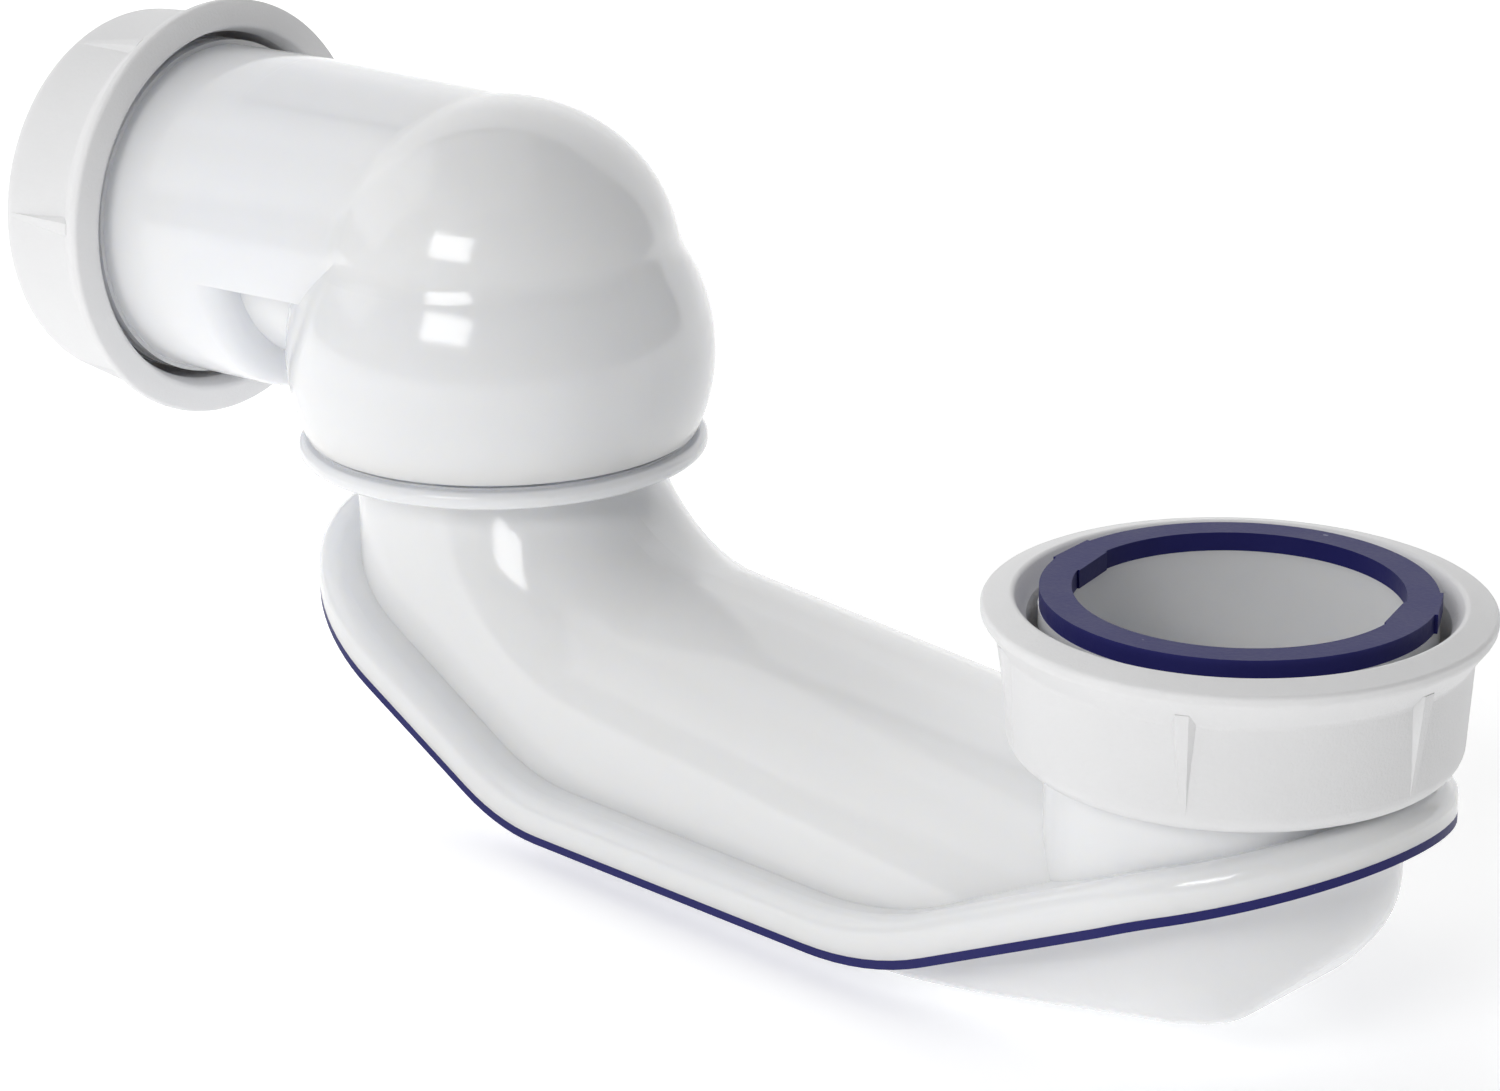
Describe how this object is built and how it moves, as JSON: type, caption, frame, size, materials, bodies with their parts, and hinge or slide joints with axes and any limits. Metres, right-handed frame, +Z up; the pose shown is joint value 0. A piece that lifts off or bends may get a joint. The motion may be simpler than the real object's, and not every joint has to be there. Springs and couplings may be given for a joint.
{
  "type": "p trap",
  "caption": "Tubular P trap: a shallow two-shell bend with an inlet union nut, a seam bead and a swivelling outlet elbow with a union nut for waste pipe.",
  "frame": {"origin": "centre of the inlet nut's rim plane, on the inlet axis", "axes": "+Z up along the inlet axis, away from the body; the riser tower stands towards -X"},
  "size_m": [0.2182, 0.0639, 0.0972],
  "materials": {
    "body_white": "glossy moulded white polypropylene",
    "nut_white": "satin moulded white polypropylene",
    "seal_blue": "smooth dark blue thermoplastic elastomer",
    "ring_black": "smooth black rubber"
  },
  "bodies": {
    "body": {"upper_shell": "body_white", "lower_shell": "body_white", "seam_bead": "seal_blue", "inlet_washer": "seal_blue", "swivel_o_ring": "ring_black"},
    "inlet_union": {"inlet_nut": "nut_white"},
    "elbow": {"swivel_elbow": "body_white", "swivel_retaining_ring": "body_white"},
    "outlet_packing": {"outlet_seal": "seal_blue", "outlet_slip_ring": "nut_white"},
    "outlet_union": {"outlet_nut": "nut_white"}
  },
  "joints": [
    {"name": "elbow_swivel", "type": "hinge", "parent": "body", "child": "elbow", "pos_m": [-0.1213, 0, 0], "axis": [0, 0, 1], "continuous": true},
    {"name": "inlet_nut_spin", "type": "hinge", "parent": "body", "child": "inlet_union", "pos_m": [0, 0, 0], "axis": [0, 0, 1], "continuous": true},
    {"name": "outlet_union_travel", "type": "slide", "parent": "elbow", "child": "outlet_packing", "axis": [-0.9893, -0.1461, 0], "range_m": [0, 0.00462]},
    {"name": "outlet_nut_spin", "type": "hinge", "parent": "outlet_packing", "child": "outlet_union", "pos_m": [-0.17769, -0.00833, 0.0164], "axis": [-0.9893, -0.1461, 0], "range_deg": [0, 720]}
  ],
  "couplings": [
    {"joint": "outlet_union_travel", "follows": "outlet_nut_spin", "m_per_rad": 0.00036749}
  ]
}
